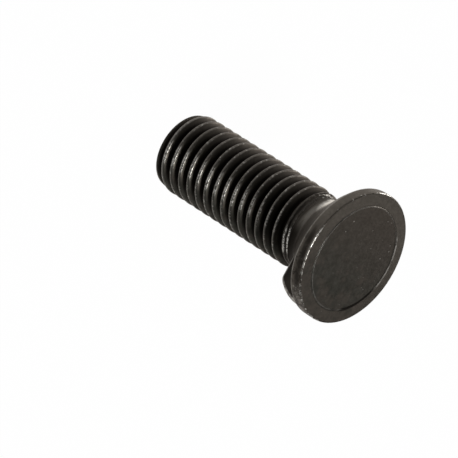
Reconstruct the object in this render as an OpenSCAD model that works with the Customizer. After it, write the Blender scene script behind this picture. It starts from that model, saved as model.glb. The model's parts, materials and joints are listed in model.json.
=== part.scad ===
// Plow bolt, forged in one piece: a flat countersunk head with a nib that keys it into the
// share, a plain neck, and a short shank for a rolled thread.
// It stands on its threaded end. The origin is the middle of that end, +Z runs up the axis to
// the head's face, and the nib points along +X. Sizes are in millimetres and degrees.

/* [Shank] */
// Length over all, from the threaded end to the head's face
bolt_l = 34.4; // [28:0.1:60]
// Diameter over the thread's crests, a little under the nominal 12
thread_d = 11.85; // [9.8:0.05:13.8]
// Pitch of the thread, which sets the rolled blank's diameter and the run-out's length
thread_pitch = 1.75; // [1:0.25:2]
// Length of the plain neck between the seat's fillet and the thread's run-out
neck_l = 1.1; // [0.5:0.1:6]
// Bevel at the threaded end
end_bevel = 0.5; // [0.3:0.1:1.2]

/* [Head] */
// Diameter of the head over its rim
head_d = 19.3; // [17:0.1:24]
// Height of the upright rim, from the head's face
rim_h = 1.8; // [1:0.1:2.6]
// Rounding of the rim's upper edge
rim_r = 0.2; // [0.1:0.05:0.5]
// Width of the low border around the raised disc on the head's face
border_w = 1.9; // [0.8:0.1:4]
// Height of the raised disc above its border
disc_h = 0.12; // [0.05:0.01:0.3]
// Included angle of the countersunk seat
cone_angle = 90; // [80:1:110]
// Fillet between the countersunk seat and the neck
neck_fillet_r = 1.5; // [0.5:0.1:2]

/* [Nib] */
// Distance that the nib's nose stays inside the rim
nib_inset = 0.45; // [0.1:0.05:1.5]
// Width of the nib at its outer end
nib_w = 7; // [3:0.1:8]
// Draft of each side of the nib
nib_draft = 7; // [0:0.5:8]
// Depth of the nib's flat end below the head's face
nib_depth = 5.9; // [4:0.1:6.4]
// Radius of the nib's curved nose
nib_nose_r = 5.8; // [5.5:0.1:12]

/* [Hidden] */
$fn = 128;

// A metric thread's pitch diameter is smaller than its crests by this many pitches
pitch_d_drop = 0.6495;

// Radii
thread_r = thread_d / 2;
end_r = thread_r - end_bevel;
neck_r = (thread_d - pitch_d_drop * thread_pitch) / 2;
head_r = head_d / 2;
disc_r = head_r - border_w;
nib_reach = head_r - nib_inset;

// Heights of the head above the threaded end
rim_top = bolt_l - disc_h;
rim_z = bolt_l - rim_h;
nib_z = bolt_l - nib_depth;
rim_centre = [head_r - rim_r, rim_top - rim_r];

// The seat runs down from the rim at half its included angle, and a fillet rounds it into the neck
cone_half = cone_angle / 2;
cone_foot_z = rim_z - (head_r - neck_r) / tan(cone_half);
fillet_l = neck_fillet_r * tan(cone_half / 2);
fillet_centre = [neck_r + neck_fillet_r, cone_foot_z - fillet_l];
fillet_on_cone = [neck_r + fillet_l * sin(cone_half), cone_foot_z + fillet_l * cos(cone_half)];

// Below the neck the thread runs out over one pitch
runout_top = fillet_centre.y - neck_l;
thread_top = runout_top - thread_pitch;

// Half of the bolt's section, from the axis outwards
module half_section() {
    difference() {
        polygon([
            [0, 0],
            [end_r, 0],
            [thread_r, end_bevel],
            [thread_r, thread_top],
            [neck_r, runout_top],
            [neck_r, fillet_centre.y],
            fillet_centre,
            fillet_on_cone,
            [head_r, rim_z],
            [head_r, rim_centre.y],
            rim_centre,
            [rim_centre.x, rim_top],
            [disc_r, rim_top],
            [disc_r, bolt_l],
            [0, bolt_l]
        ]);
        translate(fillet_centre) circle(neck_fillet_r);
    }
    translate(rim_centre) circle(rim_r);
}

// Side view of the nib: its nose curves in from the rim's lower edge to the nib's flat end
module nib_side() {
    intersection() {
        translate([0, nib_z]) square([nib_reach, rim_centre.y - nib_z]);
        translate([nib_reach - nib_nose_r, rim_z]) circle(nib_nose_r);
    }
}

// Top view of the nib, wider towards the axis by the draft
module nib_plan() {
    tip_y = nib_w / 2;
    root_y = tip_y + nib_reach * tan(nib_draft);
    polygon([[0, -root_y], [nib_reach, -tip_y], [nib_reach, tip_y], [0, root_y]]);
}

module nib() {
    intersection() {
        rotate([90, 0, 0]) linear_extrude(height = head_d, center = true) nib_side();
        linear_extrude(height = bolt_l) nib_plan();
    }
}

module plow_bolt() {
    color("#34322f") {
        rotate_extrude() half_section();
        nib();
    }
}

plow_bolt();
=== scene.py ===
import json
import math

import bmesh
import bpy
from mathutils import Matrix, Vector


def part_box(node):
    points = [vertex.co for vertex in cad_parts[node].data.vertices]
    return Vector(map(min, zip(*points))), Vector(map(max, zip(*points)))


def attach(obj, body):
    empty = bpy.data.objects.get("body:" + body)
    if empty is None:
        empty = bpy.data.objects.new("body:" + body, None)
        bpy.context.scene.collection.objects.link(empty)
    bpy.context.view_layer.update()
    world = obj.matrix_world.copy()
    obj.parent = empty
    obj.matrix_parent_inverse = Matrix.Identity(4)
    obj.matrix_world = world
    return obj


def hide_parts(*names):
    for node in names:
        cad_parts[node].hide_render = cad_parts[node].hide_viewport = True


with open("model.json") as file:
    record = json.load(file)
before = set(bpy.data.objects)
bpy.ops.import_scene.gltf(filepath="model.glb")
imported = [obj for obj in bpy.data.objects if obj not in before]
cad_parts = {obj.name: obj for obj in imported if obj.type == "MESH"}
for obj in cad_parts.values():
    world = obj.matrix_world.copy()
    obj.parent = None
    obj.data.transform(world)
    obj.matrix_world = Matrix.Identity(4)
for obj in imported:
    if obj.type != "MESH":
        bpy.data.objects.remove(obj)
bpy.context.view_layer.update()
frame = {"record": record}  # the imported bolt, standing on its threaded end
mm = 0.001

# main sizes, read from the frame
mounts = {mount["name"]: mount for mount in frame["record"]["mounts"]}
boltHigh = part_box("plow_bolt")[1]
faceZ = boltHigh.z  # the head's face
headR = boltHigh.x  # over the rim
rimZ = mounts["countersunk_seat"]["pos_m"][2]  # lower edge of the rim
crestR = mounts["threaded_shank"]["dims"]["r_mm"] * mm

# how finely the bolt is meshed
sides = 192  # steps round the axis, the same on head and thread so that they meet point to point
near = 0.01 * mm  # two places this close count as one when points are picked
hair = 0.0001 * mm  # finer than any step of the mesh
mergeGap = 0.002 * mm
smoothAngle = 35  # degrees: sharper edges stay crisp in the light


# modelling helpers

def freshStart():
    bpy.ops.object.select_all(action="DESELECT")


def take(*pieces):  # selects these alone, with the first one active
    freshStart()
    for piece in pieces:
        piece.select_set(True)
    bpy.context.view_layer.objects.active = pieces[0]


def named(name):
    piece = bpy.context.object
    piece.name = name
    piece.data.name = name
    return piece


def pick(piece, test):  # selects the vertices whose place passes the test
    bpy.ops.mesh.select_mode(type="VERT")
    bpy.ops.mesh.select_all(action="DESELECT")
    mesh = bmesh.from_edit_mesh(piece.data)
    for vert in mesh.verts:
        if test(vert.co):
            vert.select_set(True)
    mesh.select_flush(True)
    bmesh.update_edit_mesh(piece.data)


def across(place):  # distance from the bolt's axis
    return math.hypot(place.x, place.y)


def apply(piece, kind, **settings):
    modifier = piece.modifiers.new(kind.lower(), kind)
    for name, value in settings.items():
        setattr(modifier, name, value)
    bpy.context.view_layer.objects.active = piece
    bpy.ops.object.modifier_apply(modifier=modifier.name)


def weigh(piece, name, weight):  # vertex group whose weight follows a rule on the place
    group = piece.vertex_groups.new(name=name)
    for vert in piece.data.vertices:
        value = weight(vert.co)
        if value > 0:
            group.add([vert.index], value, "REPLACE")


def ramp(value, low, high):  # smooth step from 0 at low to 1 at high
    t = min(max((value - low) / (high - low), 0), 1)
    return t * t * (3 - 2 * t)


# rolled thread

thread = {
    "pitch": 1.75 * mm,
    "depth": 1.06 * mm,  # crest to root
    "crestFlat": 0.34 * mm,
    "flank": 30,  # degrees off square to the axis
    "flankSteps": (0.2, 0.55, 0.25),  # points near root and crest keep the flanks flat in the light
    "crestRound": 0.15 * mm,
    "rootRound": 0.08 * mm,
    "blankDrop": 0.6495,  # pitches by which the rolled blank is thinner than the crests
    "crestOnNibSide": 0.135 * mm,  # height of the lowest crest on the nib's side
    "turnsBelow": 2,  # begun below the end, where they are pressed flat
    "runOut": (24.6 * mm, 26.8 * mm),  # where the thread sinks into the neck
    "leadIn": (1.15 * mm, 0),  # where it sinks into the end
    "endR": crestR - 0.38 * mm,
    "endRings": (0.97, 0.6, 0.2),  # rings on the flat end, each against the one outside it
}
neckR = crestR - thread["blankDrop"] * thread["pitch"] / 2
neckZ = 26.85 * mm  # the thread ends here


def makeThread():
    pitch, depth, endR = thread["pitch"], thread["depth"], thread["endR"]
    rise = depth * math.tan(math.radians(thread["flank"]))
    rootHalf = (pitch - thread["crestFlat"]) / 2 - rise
    startZ = thread["crestOnNibSide"] - (thread["turnsBelow"] + 0.5) * pitch
    freshStart()
    bpy.ops.mesh.primitive_plane_add(size=mm, location=(crestR - depth, 0, startZ))
    piece = named("threadForm")
    bpy.ops.object.transform_apply(location=True)
    bpy.ops.object.mode_set(mode="EDIT")
    bpy.ops.mesh.select_all(action="SELECT")
    bpy.ops.mesh.merge(type="CENTER")
    # one pitch of the rolled form, drawn edge by edge from root to root
    climb = [(depth * share, rise * share) for share in thread["flankSteps"]]
    fall = [(-out, up) for out, up in reversed(climb)]
    for out, up in ((0, rootHalf), *climb, (0, thread["crestFlat"]), *fall, (0, rootHalf)):
        bpy.ops.mesh.extrude_region_move(TRANSFORM_OT_translate={"value": (out, 0, up)})
    # its corners are rounded, but not the two ends, which meet the next turns
    middle = startZ + pitch / 2
    pick(piece, lambda p: p.x > crestR - near)
    bpy.ops.mesh.bevel(offset=thread["crestRound"], segments=4, affect="VERTICES")
    pick(piece, lambda p: p.x < crestR - depth + near and abs(p.z - middle) < (pitch - rootHalf) / 2)
    bpy.ops.mesh.bevel(offset=thread["rootRound"], segments=2, affect="VERTICES")
    bpy.ops.object.mode_set(mode="OBJECT")
    turns = math.ceil((neckZ - startZ) / pitch) + 1
    apply(piece, "SCREW", axis="Z", angle=math.tau, screw_offset=pitch, iterations=turns,
          steps=sides, render_steps=sides, use_merge_vertices=False, use_normal_calculate=True)
    # the crests sink into the neck above and into the bevelled end below
    for name, radius in (("runOut", neckR), ("leadIn", endR)):
        weigh(piece, name, lambda p: ramp(p.z, *thread[name]))
        apply(piece, "CAST", cast_type="CYLINDER", factor=1, use_radius_as_size=False, size=radius,
              vertex_group=name)
    piece.vertex_groups.clear()
    # both ends are pressed flat and their rows merged
    bpy.ops.object.mode_set(mode="EDIT")
    for level, test in ((0, lambda p: p.z < 0), (neckZ, lambda p: p.z > neckZ)):
        pick(piece, test)
        bpy.ops.transform.resize(value=(1, 1, 0), center_override=(0, 0, level))
    bpy.ops.mesh.select_all(action="SELECT")
    bpy.ops.mesh.remove_doubles(threshold=mergeGap)
    # the flat end
    pick(piece, lambda p: p.z < hair)
    for shrink in thread["endRings"]:
        bpy.ops.mesh.extrude_region_move()
        bpy.ops.transform.resize(value=(shrink, shrink, 1), center_override=(0, 0, 0))
    bpy.ops.mesh.edge_face_add()
    bpy.ops.object.mode_set(mode="OBJECT")
    print("thread: %d faces, end radius %.2f mm" % (len(piece.data.polygons), endR / mm))
    return piece


# forged head and neck

head = {
    "seatAngle": 90,  # degrees, both sides together
    "seatFillet": 1.5 * mm,  # between the seat and the neck
    "rimLow": 0.16 * mm,  # rounding of the rim's two edges
    "rimTop": 0.22 * mm,
    "flare": 0.13 * mm,  # the rim is pressed out a little beyond the frame's size
    "dieMark": 0.06 * mm,  # low ridge round the neck
    "dieMarkTop": 0.1 * mm,  # heights of its top and its upper foot above the thread
    "dieMarkFoot": 0.28 * mm,
    "support": 0.25 * mm,  # rings this far from the edges keep the flats flat in the light
    "discR": 7.75 * mm,
    "discH": 0.12 * mm,  # the disc stands this far above its border
    "stepSlope": 0.05 * mm,
    "stepRound": 0.03 * mm,
    "innerRing": 0.8 * mm,  # radius of the last ring on the face
    "rimTilt": 1.7,  # degrees: the rim is forged deeper on the nib's side
    "tiltX": -1.1 * mm,  # where the tilted edge keeps its height
}
rimR = headR + head["flare"]
borderZ = faceZ - head["discH"]


def makeHead():
    seatHalf = math.radians(head["seatAngle"] / 2)
    footZ = rimZ - (headR - neckR) / math.tan(seatHalf)
    filletReach = head["seatFillet"] * math.tan(seatHalf / 2)
    discR, support = head["discR"], head["support"]
    discFoot = discR + head["stepSlope"]
    freshStart()
    bpy.ops.mesh.primitive_circle_add(vertices=sides, radius=neckR, location=(0, 0, neckZ))
    piece = named("forgedHead")
    bpy.ops.object.transform_apply(location=True)
    bpy.ops.object.mode_set(mode="EDIT")
    bpy.ops.mesh.select_all(action="SELECT")
    bpy.ops.mesh.edge_face_add()  # closed for the joining, opened again after it
    bpy.ops.mesh.select_all(action="SELECT")

    def drawOut(radius, level, rings=1):  # extrudes the last ring to a new radius and height
        for ring in range(rings):
            share = 1 / (rings - ring)
            mesh = bmesh.from_edit_mesh(piece.data)
            place = next(v.co for v in mesh.verts if v.select)
            nowR, nowZ = across(place), place.z
            grow = (nowR + (radius - nowR) * share) / nowR
            bpy.ops.mesh.extrude_region_move(
                TRANSFORM_OT_translate={"value": (0, 0, (level - nowZ) * share)})
            bpy.ops.transform.resize(value=(grow, grow, 1), center_override=(0, 0, 0))

    drawOut(neckR + head["dieMark"], neckZ + head["dieMarkTop"])
    drawOut(neckR, neckZ + head["dieMarkFoot"])
    drawOut(neckR, footZ)
    drawOut(rimR, rimZ, 4)
    drawOut(rimR, borderZ, 4)
    drawOut(rimR - support, borderZ)
    drawOut(discFoot + support, borderZ, 2)
    drawOut(discFoot, borderZ)
    drawOut(discR, faceZ)
    drawOut(discR - support, faceZ)
    drawOut(head["innerRing"], faceZ, 6)
    bpy.ops.mesh.select_all(action="SELECT")
    bpy.ops.mesh.normals_make_consistent(inside=False)

    def pickRing(radius, level):
        pick(piece, lambda p: abs(across(p) - radius) < near and abs(p.z - level) < near)

    # the rim's lower edge tilts a little, then every ring is rounded
    pickRing(rimR, rimZ)
    bpy.ops.transform.rotate(value=-math.radians(head["rimTilt"]), orient_axis="Y",
                             center_override=(head["tiltX"], 0, rimZ))
    bpy.ops.mesh.bevel(offset=head["rimLow"], segments=3, affect="EDGES")
    for radius, level, reach, segments in (
            (neckR, footZ, filletReach, 6),
            (rimR, borderZ, head["rimTop"], 4),
            (discFoot, borderZ, head["stepRound"], 2),
            (discR, faceZ, head["stepRound"], 2)):
        pickRing(radius, level)
        bpy.ops.mesh.bevel(offset=reach, segments=segments, affect="EDGES")
    bpy.ops.object.mode_set(mode="OBJECT")
    print("head: %d faces" % len(piece.data.polygons))
    return piece


# nib under the head

nib = {
    "reach": 9.35 * mm,  # from the axis to the nose
    "noseR": 5.8 * mm,
    "noseSides": 36,  # wide steps round the nose leave room for the rounded edges
    "depth": 6.05 * mm,  # below the face
    "halfWidth": 3.5 * mm,  # at the nose
    "draft": 7,  # degrees on each side
    "rootX": 2.5 * mm,  # hidden in the neck
    "topZ": faceZ - 1 * mm,  # hidden in the head
    "edgeRound": 0.55 * mm,
    "sharp": 25,  # degrees: edges sharper than this are rounded
}
noseX = nib["reach"] - nib["noseR"]
nibEndZ = faceZ - nib["depth"]
draft = math.radians(nib["draft"])


def makeNib():
    freshStart()
    bpy.ops.mesh.primitive_cylinder_add(vertices=nib["noseSides"], radius=nib["noseR"], depth=2 * headR,
                                        location=(noseX, 0, rimZ), rotation=(math.pi / 2, 0, 0))
    piece = named("nib")
    bpy.ops.object.transform_apply(location=True, rotation=True)
    bpy.ops.object.mode_set(mode="EDIT")
    # cut to its end, its root and its drafted sides
    lean, turnY = math.sin(draft), math.cos(draft)
    for place, normal in (
            ((0, 0, nibEndZ), (0, 0, -1)),
            ((0, 0, nib["topZ"]), (0, 0, 1)),
            ((nib["rootX"], 0, 0), (-1, 0, 0)),
            ((nib["reach"], nib["halfWidth"], 0), (lean, turnY, 0)),
            ((nib["reach"], -nib["halfWidth"], 0), (lean, -turnY, 0))):
        bpy.ops.mesh.select_all(action="SELECT")
        bpy.ops.mesh.bisect(plane_co=place, plane_no=normal, use_fill=True, clear_outer=True)
    # the edges that show are rounded
    bpy.ops.mesh.select_mode(type="EDGE")
    bpy.ops.mesh.select_all(action="DESELECT")
    bpy.ops.mesh.edges_select_sharp(sharpness=math.radians(nib["sharp"]))
    mesh = bmesh.from_edit_mesh(piece.data)
    for edge in mesh.edges:
        inHead = all(v.co.z > nib["topZ"] - near for v in edge.verts)
        inNeck = all(v.co.x < nib["rootX"] + near for v in edge.verts)
        if inHead or inNeck:
            edge.select_set(False)
    bmesh.update_edit_mesh(piece.data)
    bpy.ops.mesh.bevel(offset=nib["edgeRound"], segments=4, affect="EDGES")
    bpy.ops.mesh.select_all(action="SELECT")
    bpy.ops.mesh.normals_make_consistent(inside=False)
    bpy.ops.object.mode_set(mode="OBJECT")
    print("nib: %d faces" % len(piece.data.polygons))
    return piece


def joinBolt(shank, forgedHead, nibBlock):
    # nib and head become one, the neck is opened and set on the thread
    apply(forgedHead, "BOOLEAN", operation="UNION", object=nibBlock, solver="EXACT")
    bpy.data.objects.remove(nibBlock)
    take(forgedHead)
    bpy.ops.object.mode_set(mode="EDIT")
    pick(forgedHead, lambda p: p.z < neckZ + near)
    bpy.ops.mesh.delete(type="ONLY_FACE")
    bpy.ops.object.mode_set(mode="OBJECT")
    take(shank, forgedHead)
    bpy.ops.object.join()
    piece = named("plowBolt")
    bpy.ops.object.mode_set(mode="EDIT")
    bpy.ops.mesh.select_all(action="SELECT")
    bpy.ops.mesh.remove_doubles(threshold=mergeGap)
    bpy.ops.mesh.normals_make_consistent(inside=False)
    bpy.ops.object.mode_set(mode="OBJECT")
    bpy.ops.object.shade_smooth_by_angle(angle=math.radians(smoothAngle))
    print("bolt: %d faces in one piece" % len(piece.data.polygons))
    return piece


bolt = joinBolt(makeThread(), makeHead(), makeNib())


# ground, light and camera

camera = {
    "aim": (5.81 * mm, 0, 13.69 * mm),
    "distance": 582.3 * mm,
    "azimuth": -0.721,
    "elevation": 37.592,
    "roll": 122.92,  # the photo's bolt lies across the picture
    "lens": 332.47,
    "sensorWidth": 36,
    "clipStart": 10 * mm,
}


def direction(azimuth, elevation):  # degrees, the azimuth from the front towards the nib
    a, e = math.radians(azimuth), math.radians(elevation)
    return Vector((math.sin(a) * math.cos(e), -math.cos(a) * math.cos(e), math.sin(e)))


def makeCamera():
    back = direction(camera["azimuth"], camera["elevation"])
    place = Vector(camera["aim"]) + back * camera["distance"]
    bpy.ops.object.camera_add(location=place)
    eye = bpy.context.object
    turn = (-back).to_track_quat("-Z", "Y").to_matrix().to_4x4()
    roll = Matrix.Rotation(math.radians(camera["roll"]), 4, "Z")
    eye.matrix_world = Matrix.Translation(place) @ turn @ roll
    eye.data.sensor_width = camera["sensorWidth"]
    eye.data.lens = camera["lens"]
    eye.data.clip_start = camera["clipStart"]
    bpy.context.scene.camera = eye


studio = {
    "floorSize": 6,
    "floorColour": (0.8, 0.8, 0.8, 1),
    "floorGlow": 0.985,  # share of plain white that the floor shows to the camera and in reflections
    "worldColour": (1, 1, 1, 1),
    "worldLevel": 0.12,
    # lamp: azimuth and elevation seen from the bolt, distance and size in metres, power in watts
    "lamps": {
        "top": (49, 74, 0.5, 0.13, 1.55),
        "upperLeft": (-71, 41, 0.5, 0.2, 0.12),
        "back": (180, 46, 0.5, 0.26, 0.22),
        "backLeft": (-132, 10, 0.5, 0.2, 0.9),
        "left": (-88, 10, 0.5, 0.2, 0.2),
        "right": (122, 26, 0.5, 0.2, 0.25),
    },
}


def makeFloor():
    freshStart()
    bpy.ops.mesh.primitive_plane_add(size=studio["floorSize"])
    ground = named("floor")
    paint = bpy.data.materials.new("paleGround")
    paint.use_nodes = True
    tree = paint.node_tree
    tree.nodes.clear()
    add, link = tree.nodes.new, tree.links.new
    # plain white for the camera and reflections, matt for the light that falls on it
    path = add("ShaderNodeLightPath")
    seen = path.outputs["Is Camera Ray"]
    for ray in ("Is Glossy Ray", "Is Transmission Ray"):
        either = add("ShaderNodeMath")
        either.operation = "MAXIMUM"
        link(seen, either.inputs[0])
        link(path.outputs[ray], either.inputs[1])
        seen = either.outputs[0]
    share = add("ShaderNodeMath")
    share.operation = "MULTIPLY"
    share.inputs[1].default_value = studio["floorGlow"]
    link(seen, share.inputs[0])
    matt = add("ShaderNodeBsdfDiffuse")
    matt.inputs["Color"].default_value = studio["floorColour"]
    glow = add("ShaderNodeEmission")
    mix = add("ShaderNodeMixShader")
    link(share.outputs[0], mix.inputs[0])
    link(matt.outputs[0], mix.inputs[1])
    link(glow.outputs[0], mix.inputs[2])
    out = add("ShaderNodeOutputMaterial")
    link(mix.outputs[0], out.inputs["Surface"])
    ground.data.materials.append(paint)


def makeLight():
    world = bpy.data.worlds.new("studio")
    world.use_nodes = True
    sky = world.node_tree.nodes["Background"]
    sky.inputs["Color"].default_value = studio["worldColour"]
    sky.inputs["Strength"].default_value = studio["worldLevel"]
    bpy.context.scene.world = world
    middle = Vector((0, 0, faceZ / 2))
    for name, (azimuth, elevation, distance, size, power) in studio["lamps"].items():
        outwards = direction(azimuth, elevation)
        bpy.ops.object.light_add(type="AREA", location=middle + outwards * distance)
        lamp = bpy.context.object
        lamp.name = name
        lamp.rotation_euler = outwards.to_track_quat("Z", "Y").to_euler()
        lamp.data.shape = "DISK"
        lamp.data.size = size
        lamp.data.energy = power
    bpy.context.scene.view_settings.view_transform = "Standard"
    print("studio: %d lamps" % len(studio["lamps"]))


makeCamera()
makeFloor()
makeLight()


# black oxide steel, rubbed bright along its edges and sooty in its hollows; some bright lines and bands are
# painted highlights and reflections, and part of the darkening is painted shade

steel = {
    # how much light each state of the surface gives back
    "darkOxide": (0.0285, 0.0283, 0.0235, 1),
    "paleOxide": (0.045, 0.0435, 0.0375, 1),
    # a browner tone, also laid towards the far side as painted light
    "brownAndLitOxide": (0.066, 0.0545, 0.0455, 1),
    # the lightest oxide, laid on the far side of the head as painted light
    "farLitOxide": (0.09, 0.08, 0.068, 1),
    # sooty colour, also used for painted shade
    "sootAndShadeOxide": (0.009, 0.0075, 0.006, 1),
    # metal where the oxide is rubbed off, also used for painted highlights
    "bareAndGlintMetal": (0.56, 0.54, 0.5, 1),
    # brighter metal of the band that paints the fillet's reflection
    "polishedGlareMetal": (0.74, 0.71, 0.65, 1),
    "sheen": (1, 0.95, 0.9, 1),  # tint of reflections at a flat angle
    "oxideRough": (0.36, 0.5),
    "sootAndShadeRough": 0.6,
    "seatRough": 0.5,
    "bareRough": 0.28,
    # sides of the bolt in degrees: place round the axis from the nib, outer and full half width
    "sides": {
        # crests: rubbed, heaviest on this side where a painted highlight is laid
        "wornGlintCrests": (284, 21, 0),
        "lipStrokes": (303, 26, 6),
        "tornEnd": (198, 36, 6),
        "rubbedRim": (283, 27, 10),
        "rubbedNear": (325, 40, 10),
        "rubbedPatch": (325, 10, 3),
        "rubbedFar": (186, 18, 5),
        "rimSpots": (325, 75, 20),
        "rimBand": (294, 40, 16),
        # band of polish that paints the fillet's reflection
        "polishedGlareNeck": (204, 44, 12),
        "streakySeat": (222, 62, 20),
        # sides kept out of the painted shade under the head
        "litSeat": (222, 85, 25),
        "litFillet": (222, 66, 26),
        # painted shadow arc beside the disc, and its fainter part
        "arcShadow": (51, 28, 18),
        "faintArcShadow": (106, 40, 15),
        # painted highlight line just outside the disc
        "discGlintLine": (106, 34, 20),
    },
    # zones along the axis in millimetres: lower end, upper end and softness
    "zones": {
        "lips": (25.1, 27, 0.15),
        "tornEnd": (25.3, 26.6, 0.35),
        "polishedGlareNeck": (26.9, 30.1, 0.5),
        "streakySeat": (27.3, 32.2, 0.5),
        "seat": (28.2, 32.3, 0.4),
        "rubbedPatch": (32.7, 34.1, 0.3),
        "rimBand": (33, 33.95, 0.35),
    },
    # heights in millimetres between which a state comes in
    "heights": {
        "firstCrests": (3.6, 2.4),
        # the painted highlight on the crests fades out towards the head
        "wornGlintCrests": (22, 15),
        "neckFoot": (25.2, 26.6),
        # painted shade on the neck, fillet and seat under the head
        "paintedShadeNeck": (27.5, 26.9),
        "paintedShadeFillet": (28.6, 27.8),
        "paintedShadeSeat": (30, 28.6),
        "seatTop": (32.5, 31.5),
    },
    # distances in millimetres towards the nib between which a state comes in
    "towardsNib": {
        "nib": (5.8, 6.4),
        "nibEnd": (3.6, 4.4),
        # the far side is painted lighter and browner, as painted light
        "farSide": (8, -8),
    },
    "lipLevels": (25.84, 26.36, 26.95),  # millimetres, on the nib's side
    "lipRadius": (5.25, 5.35),
    "slantSide": 196,  # degrees: the polish on the neck slants about this side
    "slantRise": 1.8,  # millimetres, towards the near side
    "slantWaver": 1.4,
    # relief in millimetres, hollows below zero
    "relief": {
        "grain": 0.007,
        "forging": 0.03,
        "lips": 0.08,
        "tornEnd": 0.3,
        "chips": -0.05,
        "pits": -0.012,
    },
}
steelPaint = bpy.data.materials.new("blackSteel")
steelPaint.use_nodes = True
steelTree = steelPaint.node_tree


# node helpers: each adds nodes to the steel and gives back the socket to go on from

def node(kind, **settings):
    made = steelTree.nodes.new("ShaderNode" + kind)
    for name, value in settings.items():
        setattr(made, name, value)
    return made


def feed(socket, value):  # a link from another node, or a plain value
    if isinstance(value, bpy.types.NodeSocket):
        steelTree.links.new(value, socket)
    else:
        socket.default_value = value


def calc(operation, *values):
    made = node("Math", operation=operation)
    for socket, value in zip(made.inputs, values):
        feed(socket, value)
    return made.outputs[0]


def chain(operation, first, *others):
    for other in others:
        first = calc(operation, first, other)
    return first


def times(*values):
    return chain("MULTIPLY", *values)


def most(*values):
    return chain("MAXIMUM", *values)


def total(*values):
    return chain("ADD", *values)


def less(first, second):
    return calc("SUBTRACT", first, second)


def length(first, second):
    return calc("SQRT", total(times(first, first), times(second, second)))


def step(value, low, high, bottom=0, top=1):  # smooth step, falling where low is above high
    made = node("MapRange", interpolation_type="SMOOTHSTEP")
    for name, setting in (("Value", value), ("From Min", low), ("From Max", high),
                          ("To Min", bottom), ("To Max", top)):
        feed(made.inputs[name], setting)
    return made.outputs["Result"]


def between(value, low, high, soft):
    return times(step(value, low - soft, low + soft), step(value, high + soft, high - soft))


def blend(share, first, second):
    made = node("Mix", data_type="RGBA")
    for socket, value in ((made.inputs[0], share), (made.inputs[6], first), (made.inputs[7], second)):
        feed(socket, value)
    return made.outputs[2]


# place on the bolt in millimetres, and as distance and angle from its axis

def scaled(vector, scale):
    made = node("VectorMath", operation="MULTIPLY")
    feed(made.inputs[0], vector)
    feed(made.inputs[1], scale)
    return made.outputs[0]


placeMm = scaled(node("TexCoord").outputs["Object"], (1 / mm, 1 / mm, 1 / mm))
drawnOut = scaled(placeMm, (0.12, 0.12, 1))  # patterns on it are drawn out round the axis
split = node("SeparateXYZ")
feed(split.inputs[0], placeMm)
x, y, z = split.outputs
fromAxis = length(x, y)
angle = calc("ARCTAN2", y, x)

pitchMm, crestMm, neckMm = thread["pitch"] / mm, crestR / mm, neckZ / mm
rimMm, edgeMm, borderMm = rimR / mm, rimZ / mm, borderZ / mm
discMm, faceMm = head["discR"] / mm, faceZ / mm


def side(name):  # 1 on that side of the bolt, 0 away from it
    degrees, outer, inner = steel["sides"][name]
    a = math.radians(degrees)
    facing = calc("DIVIDE", total(times(x, math.cos(a)), times(y, math.sin(a))), fromAxis)
    return step(facing, math.cos(math.radians(outer)), math.cos(math.radians(inner)))


def zone(name):
    return between(z, *steel["zones"][name])


def height(name, bottom=0, top=1):
    return step(z, *steel["heights"][name], bottom, top)


def towardsNib(name):
    return step(x, *steel["towardsNib"][name])


def ringGap(radius, level):  # distance to a ring about the axis
    return length(less(fromAxis, radius), less(z, level))


def noise(scale, detail=2, rough=0.5, where=placeMm):  # scale in waves per millimetre
    made = node("TexNoise")
    feed(made.inputs["Vector"], where)
    for name, setting in (("Scale", scale), ("Detail", detail), ("Roughness", rough)):
        feed(made.inputs[name], setting)
    return made.outputs["Fac"]


patches = noise(0.7, 4, 0.6)
speckle = noise(5, 3, 0.6)
streaks = noise(2.5, 3, 0.6, drawnOut)


# thread: crests rubbed along their upper edge; the bright band on one side and low on the shank is partly a
# painted highlight

onThread = step(z, neckMm, neckMm - 0.5)
crest = times(step(fromAxis, crestMm - 0.14, crestMm - 0.03), onThread)
climb = less(z, times(angle, pitchMm / math.tau))  # stays the same along one turn of a crest


def crestWearAndGlint():
    phase = calc("FRACT", calc("DIVIDE", less(climb, thread["crestOnNibSide"] / mm), pitchMm))
    upperEdge = times(between(less(crestMm, fromAxis), -0.05, 0.15, 0.05), step(phase, 0.5, 0.45), onThread)
    # painted highlight: the bright band is heaviest on one side and low on the shank, over real rubbing
    wearAndGlint = times(step(side("wornGlintCrests"), 0, 1, 0.02, 0.95), height("wornGlintCrests", 0.5, 1))
    return most(times(upperEdge, wearAndGlint, step(noise(3.4, 3, 0.65), 0.42, 0.62, 0.1, 1)),
                times(crest, step(noise(2.6, 2), 0.56, 0.68, 0.065, 0.36)),
                times(crest, height("firstCrests", 0, 0.15)))


# run-out: lips of the unfinished crest climb with the thread, and its torn end shows at the far side

waver = total(climb, times(less(noise(1.3, 3, 0.6), 0.5), 0.5))
lips = most(*(step(calc("ABSOLUTE", less(waver, level)), 0.24, 0.08) for level in steel["lipLevels"]))
lips = times(lips, zone("lips"), step(fromAxis, *steel["lipRadius"]))
tornEnd = times(side("tornEnd"), zone("tornEnd"))
tears = total(times(noise(3.2, 3, 0.6, drawnOut), 0.6), times(noise(1.6, 3, 0.6), 0.4))


def runOutWear():
    strokes = times(lips, step(side("lipStrokes"), 0, 1, 0.05, 0.9), step(speckle, 0.35, 0.62))
    torn = step(times(tornEnd, tears), 0.48, 0.58, 0, 0.75)  # thins out towards its border
    return most(strokes, torn)


# rim: front edge, back edge and a rubbed patch between

onRim = times(step(fromAxis, rimMm - 0.3, rimMm - 0.1), step(z, borderMm - 0.05, borderMm - 0.35))


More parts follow.
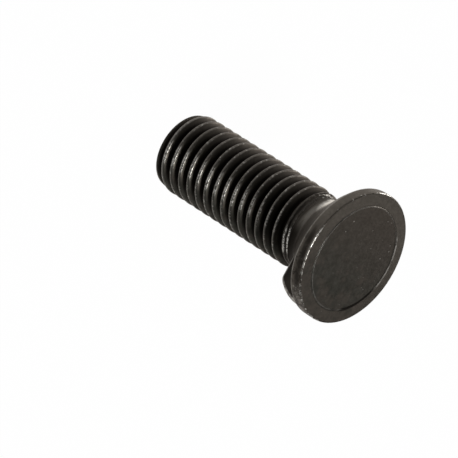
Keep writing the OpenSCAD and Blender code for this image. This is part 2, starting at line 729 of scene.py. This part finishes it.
def rimWear():
    rubbed = most(times(side("rubbedRim"), step(noise(2, 3, 0.6), 0.36, 0.6)),
                  times(side("rubbedNear"), step(noise(2, 3, 0.6), 0.46, 0.62, 0, 0.9)),
                  times(side("rubbedFar"), step(noise(2.4, 3, 0.6), 0.4, 0.58)))
    flecks = step(noise(1.1, 2), 0.6, 0.68)
    front = times(step(ringGap(rimMm - 0.07, borderMm - 0.07), 0.2, 0.06), most(rubbed, flecks), 0.85)
    tilt = math.tan(math.radians(head["rimTilt"]))
    backLevel = total(edgeMm + head["tiltX"] / mm * tilt, times(x, -tilt))
    back = times(step(ringGap(rimMm - 0.03, backLevel), 0.22, 0.06), step(speckle, 0.35, 0.6, 0.08, 0.2))
    patch = times(side("rubbedPatch"), zone("rubbedPatch"), step(noise(4, 4, 0.7), 0.52, 0.68, 0, 0.4))
    return most(front, back, patch)


# neck and seat: a band of polish at the far side that paints the fillet's reflection, streaky wear towards
# the near one

def polishedGlareBand():  # polish that paints the fillet's reflection; it slants, with a wavering edge
    a = math.radians(steel["slantSide"])
    aside = calc("DIVIDE", less(times(y, math.cos(a)), times(x, math.sin(a))), fromAxis)
    slant = total(less(z, times(aside, steel["slantRise"])), times(less(patches, 0.5), steel["slantWaver"]))
    return times(side("polishedGlareNeck"), between(slant, *steel["zones"]["polishedGlareNeck"]),
                 step(z, neckMm, neckMm + 0.4))


polishedGlare = polishedGlareBand()


def seatWear():
    return most(times(polishedGlare, step(streaks, 0.3, 0.6, 0.6, 1)),
                times(side("streakySeat"), zone("streakySeat"), step(streaks, 0.38, 0.65, 0.02, 0.12)))


# face: a painted highlight along the edge of the disc, left off over the painted shadow arc, a painted
# highlight line just outside it, and rubbed specks

onFace = step(z, faceMm - 0.2, faceMm - 0.05)
# painted shadow of the disc's step, dark on one side and fainter on another
paintedArcShadow = times(step(ringGap(discMm + 0.02, faceMm - 0.06), 0.34, 0.2),
                most(side("arcShadow"), times(side("faintArcShadow"), 0.6)))


def faceGlintAndSpecks():
    # painted highlight along the disc's edge
    edge = times(step(ringGap(discMm - 0.02, faceMm - 0.04), 0.16, 0.05),
                 step(patches, 0.35, 0.6, 0.06, 0.16), less(1, paintedArcShadow))
    # painted highlight line just outside the disc
    beside = times(step(ringGap(discMm + 0.3, borderMm), 0.2, 0.08), side("discGlintLine"),
                   step(noise(1.5, 3, 0.6), 0.36, 0.6, 0.06, 0.4))
    specks = times(onFace, step(noise(2.3, 1, 0.4), 0.755, 0.79), 0.3)
    return most(edge, beside, specks)


# nib: edges where its nose and its flat end meet the sides

noseGap = less(nib["noseR"] / mm, length(less(x, noseX / mm), less(z, edgeMm)))
sideGap = less((nib["reach"] * math.sin(draft) + nib["halfWidth"] * math.cos(draft)) / mm,
               total(times(x, math.sin(draft)), times(calc("ABSOLUTE", y), math.cos(draft))))
onNib = times(towardsNib("nib"), step(z, edgeMm + 0.1, edgeMm - 0.4))
onNose = times(onNib, step(noseGap, 0.6, 0.3))


def nibWear():
    corners = times(onNib, step(total(noseGap, sideGap), 0.55, 0.3), step(speckle, 0.4, 0.7, 0.02, 0.16))
    nose = times(onNose, step(sideGap, 1.1, 0.5), step(noise(1.6, 4, 0.65), 0.38, 0.6, 0.15, 0.6))
    endGap = less(z, nibEndZ / mm)
    end = times(towardsNib("nibEnd"), step(length(endGap, sideGap), 0.5, 0.25),
                step(speckle, 0.3, 0.6, 0.12, 0.35))
    return most(corners, nose, end)


# sooty thread roots darkened further as painted shade, painted shade under the head and in the torn end's
# hollows, dirt on the rim, and a painted shadow arc beside the disc

def sootAndShadeCover():
    # sooty roots, darkened further as painted shade
    roots = times(onThread, step(fromAxis, crestMm - 0.25, crestMm - 0.8))
    # painted shade under the head on the neck, fillet and seat, lighter on the lit side and streaky
    paintedShadeUnderHead = most(times(less(1, side("litSeat")), height("paintedShadeSeat", 0.75, 1)),
                 times(less(1, side("litFillet")), height("paintedShadeFillet")),
                 height("paintedShadeNeck", 0, 0.45), step(streaks, 0.5, 0.62, 0, 0.4))
    seat = times(height("neckFoot"), height("seatTop"), paintedShadeUnderHead, less(1, onNose))
    spots = times(onRim, step(noise(0.9, 4, 0.65), 0.42, 0.58), step(side("rimSpots"), 0, 1, 0.15, 0.9))
    band = times(onRim, zone("rimBand"), side("rimBand"), step(patches, 0.35, 0.6, 0.4, 0.9))
    # painted shade in the hollows of the torn end
    torn = times(tornEnd, step(tears, 0.5, 0.44))
    return times(most(roots, seat, spots, band, paintedArcShadow, torn), 0.95)


# rubbed metal together with the painted highlights and the painted reflection
bareAndGlint = most(crestWearAndGlint(), runOutWear(), rimWear(), seatWear(), faceGlintAndSpecks(), nibWear())
sootAndShade = sootAndShadeCover()


# the finished surface

def oxideColour():  # browner off the disc; lighter and browner towards the far side and palest on the rim there, which is painted light
    offDisc = step(fromAxis, discMm - 0.1, discMm + 0.3)
    farSide = towardsNib("farSide")
    brownAndLit = most(step(noise(0.45, 4, 0.6), 0.42, 0.7, 0, 0.6),
                 times(offDisc, step(patches, 0.3, 0.6, 0.25, 0.7)), times(farSide, 0.75))
    onHead = times(step(z, edgeMm - 6, edgeMm - 5), most(offDisc, step(z, edgeMm, edgeMm - 0.5)))
    colour = blend(step(patches, 0.3, 0.7), steel["darkOxide"], steel["paleOxide"])
    colour = blend(brownAndLit, colour, steel["brownAndLitOxide"])
    # lighter oxide on the far side of the head and rim, as painted light
    for share in (times(onHead, step(farSide, 0, 1, 0.1, 0.75)), times(onRim, farSide)):
        colour = blend(share, colour, steel["farLitOxide"])
    return blend(sootAndShade, colour, steel["sootAndShadeOxide"])


def roughness():
    rough = step(noise(2.2, 4, 0.65), 0.3, 0.7, *steel["oxideRough"])
    for share, goal in ((sootAndShade, "sootAndShadeRough"), (zone("seat"), "seatRough"), (bareAndGlint, "bareRough")):
        rough = total(rough, times(share, less(steel[goal], rough)))
    return rough


def reliefHeight():
    forms = {
        "grain": noise(5, 4, 0.6),
        "forging": noise(0.3, 3),
        "lips": lips,
        "tornEnd": times(tornEnd, tears),
        "chips": times(crest, step(noise(1.4, 2), 0.6, 0.7)),
        "pits": times(onFace, step(noise(1.7, 2, 0.6), 0.68, 0.76)),
    }
    return total(*(times(form, steel["relief"][name]) for name, form in forms.items()))


def finishSteel():
    shader = steelTree.nodes["Principled BSDF"]
    # the band of polish is a painted reflection along the fillet
    metal = blend(polishedGlare, steel["bareAndGlintMetal"], steel["polishedGlareMetal"])
    bump = node("Bump")
    feed(bump.inputs["Strength"], 1)
    feed(bump.inputs["Distance"], mm)
    feed(bump.inputs["Height"], reliefHeight())
    feed(shader.inputs["Metallic"], 1)
    feed(shader.inputs["Specular Tint"], steel["sheen"])
    feed(shader.inputs["Base Color"], blend(bareAndGlint, oxideColour(), metal))
    feed(shader.inputs["Roughness"], roughness())
    feed(shader.inputs["Normal"], bump.outputs[0])
    bolt.data.materials.clear()
    bolt.data.materials.append(steelPaint)
    print("steel: %d nodes" % len(steelTree.nodes))


finishSteel()

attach(bolt, "root")
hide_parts("plow_bolt")
